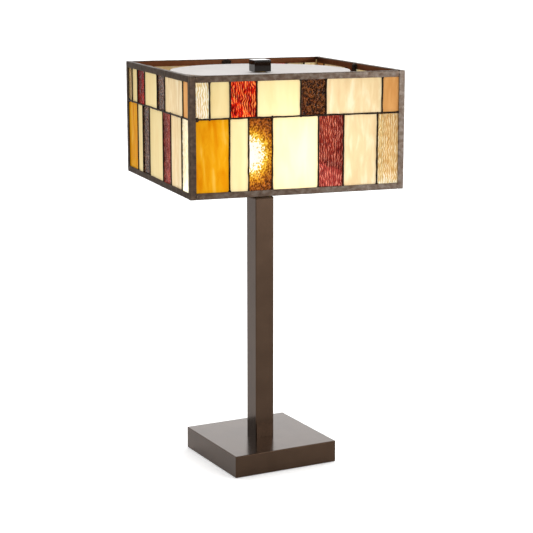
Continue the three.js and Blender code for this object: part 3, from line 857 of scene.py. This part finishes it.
def rail_shape(is_top, seed):
    """U-shaped strip of the front panel, hand made: its faces wander by a tenth of a millimetre or two."""
    outer, inner = -HALF, -HALF + RAIL_DEPTH
    section = rounded(
        [
            (outer, 0, 0.8),
            (inner, 0, 0.8),
            (inner, RAIL_HEIGHT, 0.4),
            (inner - CHANNEL_WALL, RAIL_HEIGHT, 0.4),
            (inner - CHANNEL_WALL, CHANNEL_FLOOR, 0),
            (outer + CHANNEL_WALL, CHANNEL_FLOOR, 0),
            (outer + CHANNEL_WALL, RAIL_HEIGHT, 0.4),
            (outer, RAIL_HEIGHT, 0.5),
        ],
    )
    flip = -1 if is_top else 1
    level = SHADE_TOP if is_top else SHADE_BOTTOM
    rings = []
    end = POST_INNER - GAP
    middle = Vector(((outer + inner) / 2, RAIL_HEIGHT / 2))
    for x in [-end, *stations(-end + 0.4, end - 0.4, 2), end]:
        scale = 0.94 if abs(x) == end else 1
        places = [middle + (p - middle) * scale for p in section]
        rings.append([Vector((x, y, level + flip * z)) for y, z in places])
    points, faces = loft(rings)
    offset = Vector((seed * 400, 0, 0))
    wander = Vector((0, 0.14, 0.14))
    bent = [p + wander * noise.noise((p + offset) / 11) for p in points]
    dents = [noise.noise_vector((p + offset) / 3) * 0.05 for p in points]
    return [p + dent for p, dent in zip(bent, dents)], faces


def post_shape(seed):
    """Square core of a corner post, with a flange over the edge of each panel it joins."""
    outer = -HALF
    wall, core = outer + CHANNEL_WALL, outer + CHANNEL_WALL + POST_CORE
    section = rounded(
        [
            (outer, outer, 0.7),
            (outer + RAIL_HEIGHT, outer, 0.4),
            (outer + RAIL_HEIGHT, wall, 0.4),
            (core, wall, 0),
            (core, core, 0.5),
            (wall, core, 0),
            (wall, outer + RAIL_HEIGHT, 0.4),
            (outer, outer + RAIL_HEIGHT, 0.4),
        ],
    )
    middle = Vector((outer + 2.5, outer + 2.5))
    rings = []
    for z in stations(SHADE_BOTTOM, SHADE_TOP, 2):
        is_end = z in (SHADE_BOTTOM, SHADE_TOP)
        scale = 0.93 if is_end else 1
        rings.append([Vector((*(middle + (p - middle) * scale), z)) for p in section])
    points, faces = loft(rings)
    offset = Vector((0, 0, seed * 400))
    return [p + noise.noise_vector((p + offset) / 9) * 0.14 for p in points], faces


def lead_section(width):
    """H-section of a lead line: a domed flange outside, a heart between the panes and a flange inside."""
    out_y, in_y = -GLASS_OUTER - 0.1, -GLASS_INNER + 0.1
    arc = [math.pi * k / 6 for k in range(7)]
    outside = [(-width * math.cos(a), out_y - 0.25 - 0.95 * math.sin(a)) for a in arc]
    inside = [(width * math.cos(a), in_y + 0.25 + 0.8 * math.sin(a)) for a in arc]
    heart = LEAD_HEART
    return [*outside, (width, out_y), (heart, out_y), (heart, in_y), (width, in_y), *inside,
            (-width, in_y), (-heart, in_y), (-heart, out_y), (-width, out_y)]


def lead_line(start, stop, seed):
    """One lead line of the front panel from (x, z) to (x, z), a little crooked and uneven."""
    start, stop = Vector(start), Vector(stop)
    run = stop - start
    ahead = run.normalized()
    across = Vector((ahead.y, -ahead.x))
    rings = []
    steps = max(4, round(run.length / 2))
    for k in range(steps + 1):
        t = k / steps
        here = noise.noise(Vector((k * 0.23, seed * 7.3, 0.5)))
        there = noise.noise(Vector((k * 0.31, seed * 3.1, 9.5)))
        ease = min(1, 6 * t, 6 * (1 - t))
        flare = 1 + 0.35 * max(0, 1 - min(t, 1 - t) * run.length / 3)
        middle = start + run * t + across * 0.35 * here * ease
        section = lead_section(LEAD_HALF * (1 + 0.22 * there) * flare)
        rings.append([Vector((middle.x + across.x * u, y, middle.y + across.y * u)) for u, y in section])
    return loft(rings)


def solder_spot(x, z, size, seed):
    """A flattened drop of solder where lead lines meet."""
    return ball(
        (x, -GLASS_OUTER - 0.45, z + 0.2 * math.sin(seed)),
        (size * (1.1 + 0.2 * math.sin(seed * 2.3)), 0.95, size * (1 + 0.2 * math.cos(seed * 1.7))),
    )


def lead_shape(seed):
    """All lead lines of the front panel."""
    top, bottom = SHADE_TOP - RAIL_HEIGHT + 0.2, SHADE_BOTTOM + RAIL_HEIGHT - 0.2
    end = POST_INNER + 0.2
    shapes = [lead_line((-end, LEAD_Z), (end, LEAD_Z), seed)]
    shapes += [lead_line((x, LEAD_Z), (x, top), seed + 1 + i) for i, x in enumerate(UPPER_LEADS)]
    shapes += [lead_line((x, bottom), (x, LEAD_Z), seed + 9 + i) for i, x in enumerate(LOWER_LEADS)]
    spots = [(x, LEAD_Z, 1.35) for x in (*UPPER_LEADS, *LOWER_LEADS)]
    spots += [(-end + 1, LEAD_Z, 2.6), (end - 1, LEAD_Z, 2.0)]
    spots += [(x, top - 0.4, 1.4) for x in UPPER_LEADS]
    spots += [(x, bottom + 0.4, 1.4) for x in LOWER_LEADS]
    shapes += [solder_spot(x, z, size, seed + i) for i, (x, z, size) in enumerate(spots)]
    return combine(*shapes)


def ripple(x, z, seed):
    """Relief of rippled glass, 0 to 1: wandering ridges that run mostly up and down."""
    wander = 1.7 * noise.noise(Vector((x / 7, z / 6, seed)))
    wander += 0.9 * noise.noise(Vector((x / 2.6, z / 3.6, seed + 5)))
    height = 0.5 + 0.5 * math.sin(math.tau * (x + wander) / 2.6)
    return min(1, max(0, height * (0.85 + 0.9 * noise.noise(Vector((x / 3, z / 5, seed + 9))))))


def hammered(x, z, seed):
    """Relief of hammered glass, 0 to 1: small dimples side by side."""
    nearest = noise.voronoi(Vector((x / 1.5, z / 2.3, seed * 3.7)))[0][0]
    return min(1, max(0, nearest * 1.25 - 0.05 + 0.4 * noise.noise(Vector((x / 3, z / 3, seed)))))


def smooth(x, z, seed):
    return 0.5 + 0.5 * noise.noise(Vector((x / 22, z / 35, seed)))


RELIEF = {  # finish: relief, its depth, and how finely it is modelled
    "clear": (ripple, 0.4, 0.55),
    "red": (ripple, 0.4, 0.5),
    "burgundy": (ripple, 0.4, 0.5),
    "smoke": (hammered, 0.4, 0.5),
}
SMOOTH_RELIEF = (smooth, 0.12, 2)


def pane_shape(x0, x1, z0, z1, finish, seed, faces_bulb, lit):
    """A pane of the front panel: relief on its outer face, and values at its points for its material."""
    relief, depth, pitch = RELIEF.get(finish, SMOOTH_RELIEF)
    xs, zs = stations(x0, x1, pitch), stations(z0, z1, pitch)
    columns, rows = len(xs), len(zs)
    values = {"relief": [], "edge": [], "glare": [], "lit": []}
    points = []
    for z in zs:
        for x in xs:
            height = relief(x, z, seed)
            points.append(Vector((x, -GLASS_OUTER + depth * (1 - height), z)))
            values["relief"].append(height)
            values["edge"].append(min(1, min(x - x0, x1 - x, z - z0, z1 - z) / 4))
            away = math.hypot(x - GLARE[0], (z - GLARE[1]) * 0.95)
            away += 5 * noise.noise(Vector((x / 3, z / 3, seed)))
            near = 0.2 * math.exp(-((away / 60) ** 2)) + 0.95 * math.exp(-((away / 19) ** 2))
            values["glare"].append(faces_bulb * near)
            # painted light: clear panes glow brighter and paler near the shade's bottom, standing in for
            # the room's light seen through them
            foot = math.exp(-(((z - SHADE_BOTTOM) / 14) ** 2)) if finish == "clear" else 0
            values["lit"].append(lit * (1 + 1.2 * foot))
    faces = [
        (r * columns + c, r * columns + c + 1, (r + 1) * columns + c + 1, (r + 1) * columns + c)
        for r in range(rows - 1)
        for c in range(columns - 1)
    ]
    rim = [*range(columns)]
    rim += [r * columns + columns - 1 for r in range(1, rows)]
    rim += [(rows - 1) * columns + c for c in reversed(range(columns - 1))]
    rim += [r * columns for r in reversed(range(1, rows - 1))]
    base = len(points)
    points += [Vector((points[i].x, -GLASS_INNER, points[i].z)) for i in rim]
    for kept in values.values():
        kept += [kept[i] for i in rim]
    count = len(rim)
    faces += [(rim[i], rim[(i + 1) % count], base + (i + 1) % count, base + i) for i in range(count)]
    faces.append(tuple(range(base, base + count)))
    return points, faces, values


def make_panes(k):
    """The two rows of panes of one side, each seen from outside, left to right."""
    side = SIDES[k]
    inset = CHANNEL_FLOOR + GAP
    rows = {
        "upper": (UPPER_LEADS, UPPER_GLASS, LEAD_Z + PANE_GAP, SHADE_TOP - inset),
        "lower": (LOWER_LEADS, LOWER_GLASS, SHADE_BOTTOM + inset, LEAD_Z - PANE_GAP),
    }
    for row, (leads, finishes, z0, z1) in rows.items():
        starts = [-GLASS_END, *(x + PANE_GAP for x in leads)]
        stops = [*(x - PANE_GAP for x in leads), GLASS_END]
        for i, finish in enumerate(finishes):
            seed = 11.3 * k + 1.7 * i + len(row + side)
            lit = LIT.get((side, row, i + 1), 1 if side == "front" else 0.72)
            shape = pane_shape(starts[i], stops[i], z0, z1, finish, seed, side == "front", lit)
            name = f"pane_{side}_{row}_{i + 1}"
            add_piece(name, shape, finish, "shade", [f"glass_{row}_{side}"], panel_turn(k), sharp=60)


def corner_solder():
    """Solder over the joints of one corner post with the rails on both its faces."""
    spots = []
    for z, tall in ((SHADE_BOTTOM + 3, 2.6), (SHADE_TOP - 2.2, 1.8)):
        spots.append(ball((-POST_INNER, -HALF + 0.4, z), (2.2, 0.6, tall)))
        spots.append(ball((-HALF + 0.4, -POST_INNER, z), (0.6, 2.2, tall)))
    return combine(*spots)


def make_frame_side(k):
    """The metal of one side and of the corner on its left."""
    side, corner, turn = SIDES[k], CORNERS[k], panel_turn(k)
    metal_pieces = {
        "rail_top_" + side: (rail_shape(True, k), ["top_rail_" + side], 40),
        "rail_bottom_" + side: (rail_shape(False, k + 5), ["bottom_rail_" + side], 40),
        "post_" + corner: (post_shape(k), ["corner_post_" + corner], 40),
        "solder_" + corner: (corner_solder(), [], 180),
    }
    for name, (shape, nodes, sharp) in metal_pieces.items():
        add_piece(name, with_painted_light(shape, k), "patina", "shade", nodes, turn, sharp)
    lead_nodes = ["lead_lines_" + side]
    add_piece("leads_" + side, lead_shape(20 * k), "solder", "shade", lead_nodes, turn, sharp=60)
    tab = ball((0, -HALF + RAIL_DEPTH + 0.6, SHADE_TOP - 3.2), (6.2, 1.6, 2.9))
    add_piece("spider_solder_" + side, tab, "solder", "shade", turn=turn, sharp=180)


def make_shade():
    for k in range(len(SIDES)):
        make_frame_side(k)
        make_panes(k)
    paint_node("shade_spider", "solder")
    make_disc()
    make_finial()


def make_disc():
    """A dished disc: flat in the middle, rising to a rounded rim."""
    radius, seat, thick = high("shade_disc").x, 15, 1.4
    rim, bottom = high("shade_disc").z, low("shade_disc").z
    top = bottom + thick
    outline = [(STUD_HOLE_R, top), (seat - 1, top), (seat + 1, top + 0.05), (radius - 1.2, rim - 0.05)]
    outline += [(radius - 0.4, rim), (radius, rim - 0.4), (radius, rim - 1), (radius - 0.4, rim - thick)]
    outline += [(seat + 1, bottom + 0.05), (seat - 1, bottom), (STUD_HOLE_R, bottom)]
    disc = turned(outline, 120)
    add_piece("diffuser_disc", disc, "white_paint", "shade", ["shade_disc"], SHADE_TURN, sharp=50)


def make_finial():
    """A square block, hollow from below: a blind hole for the stud, and a recess over the washer."""
    bottom, top = low("finial").z, high("finial").z
    half = high("finial").x / (math.cos(SHADE_TURN) + abs(math.sin(SHADE_TURN)))
    edge = 0.7
    roof = high("harp_stud").z + 0.6
    recess = low("finial_washer").z + 1.3
    recess_r = 7.3
    rings = [
        (STUD_HOLE_R, roof, STUD_HOLE_R),
        (STUD_HOLE_R, recess, STUD_HOLE_R),
        (recess_r, recess, recess_r),
        (recess_r, bottom, recess_r),
        (half - 0.4, bottom, 0.6),
        (half, bottom + 0.4, 0.8),
        (half, top - edge, 0.8),
        (half - 0.2, top - 0.2, 0.8),
        (half - edge, top, 0.6),
        (4, top, 4),
    ]
    block = loft([square(*ring) for ring in rings])
    add_piece("finial_block", block, "finial_bronze", "finial", ["finial"], SHADE_TURN)
    paint_node("finial_washer", "brass")
    paint_node("seat_washer", "brass")


# ---------- stage ----------
def make_floor():
    size = 40
    corners = [(-size, -size, 0), (size, -size, 0), (size, size, 0), (-size, size, 0)]
    mesh = bpy.data.meshes.new("floor")
    mesh.from_pydata(corners, [], [(0, 1, 2, 3)])
    matt = Surface("pale_floor", Roughness=0.9, Specular_IOR_Level=0.1, Emission_Strength=0.35)
    clouds = matt.noise(400)
    matt.feed("Base Color", matt.ramp(clouds, (0.3, srgb(246, 246, 246)), (0.7, srgb(250, 250, 250))))
    matt.feed("Emission Color", matt.ramp(clouds, (0.3, (0.97, 0.97, 0.97, 1)), (0.7, (1, 1, 1, 1))))
    mesh.materials.append(matt.material)
    floor = bpy.data.objects.new("floor", mesh)
    floor.location.z = -0.0002
    bpy.context.scene.collection.objects.link(floor)


def add_softbox(name, place, target, size, power):
    light = bpy.data.lights.new(name, "AREA")
    light.shape = "RECTANGLE"
    light.size, light.size_y = size
    light.energy = power
    lamp = bpy.data.objects.new(name, light)
    lamp.location = place
    lamp.rotation_euler = (Vector(target) - Vector(place)).to_track_quat("-Z", "Y").to_euler()
    bpy.context.scene.collection.objects.link(lamp)


def make_lights():
    world = bpy.data.worlds.new("studio")
    world.use_nodes = True
    nodes, links = world.node_tree.nodes, world.node_tree.links
    facing = nodes.new("ShaderNodeVectorMath")
    facing.operation = "DOT_PRODUCT"
    facing.inputs[1].default_value = Vector((0.46, 0.86, 0.3)).normalized()
    links.new(nodes.new("ShaderNodeTexCoord").outputs["Generated"], facing.inputs[0])
    brightness = nodes.new("ShaderNodeMapRange")
    for socket, number in (("From Min", -0.3), ("From Max", 0.95), ("To Min", 0.35), ("To Max", 1.93)):
        brightness.inputs[socket].default_value = number
    links.new(facing.outputs["Value"], brightness.inputs["Value"])
    links.new(brightness.outputs["Result"], nodes["Background"].inputs["Strength"])
    nodes["Background"].inputs["Color"].default_value = (1, 1, 1, 1)
    bpy.context.scene.world = world
    add_softbox("key", (1.25, -2.1, 0.54), (0, 0, 0.4), (1.1, 0.8), 22)
    add_softbox("top", (0.5, -0.4, 1.9), (0, 0, 0.3), (1.0, 1.0), 6)
    bpy.context.scene.view_settings.view_transform = "Standard"


def make_camera():
    camera = bpy.data.cameras.new("camera")
    camera.sensor_width = 36
    camera.lens = 105.56
    camera.clip_end = 100
    holder = bpy.data.objects.new("camera", camera)
    holder.location = (-0.83603, -1.60367, 0.59591)
    holder.rotation_euler = Vector((0.45675, 0.86741, -0.19748)).to_track_quat("-Z", "Y").to_euler()
    bpy.context.scene.collection.objects.link(holder)
    bpy.context.scene.camera = holder


make_camera()
make_lights()
make_floor()
make_base()
make_stem()
make_harp()
make_lampholder()
make_bulb()
make_shade()
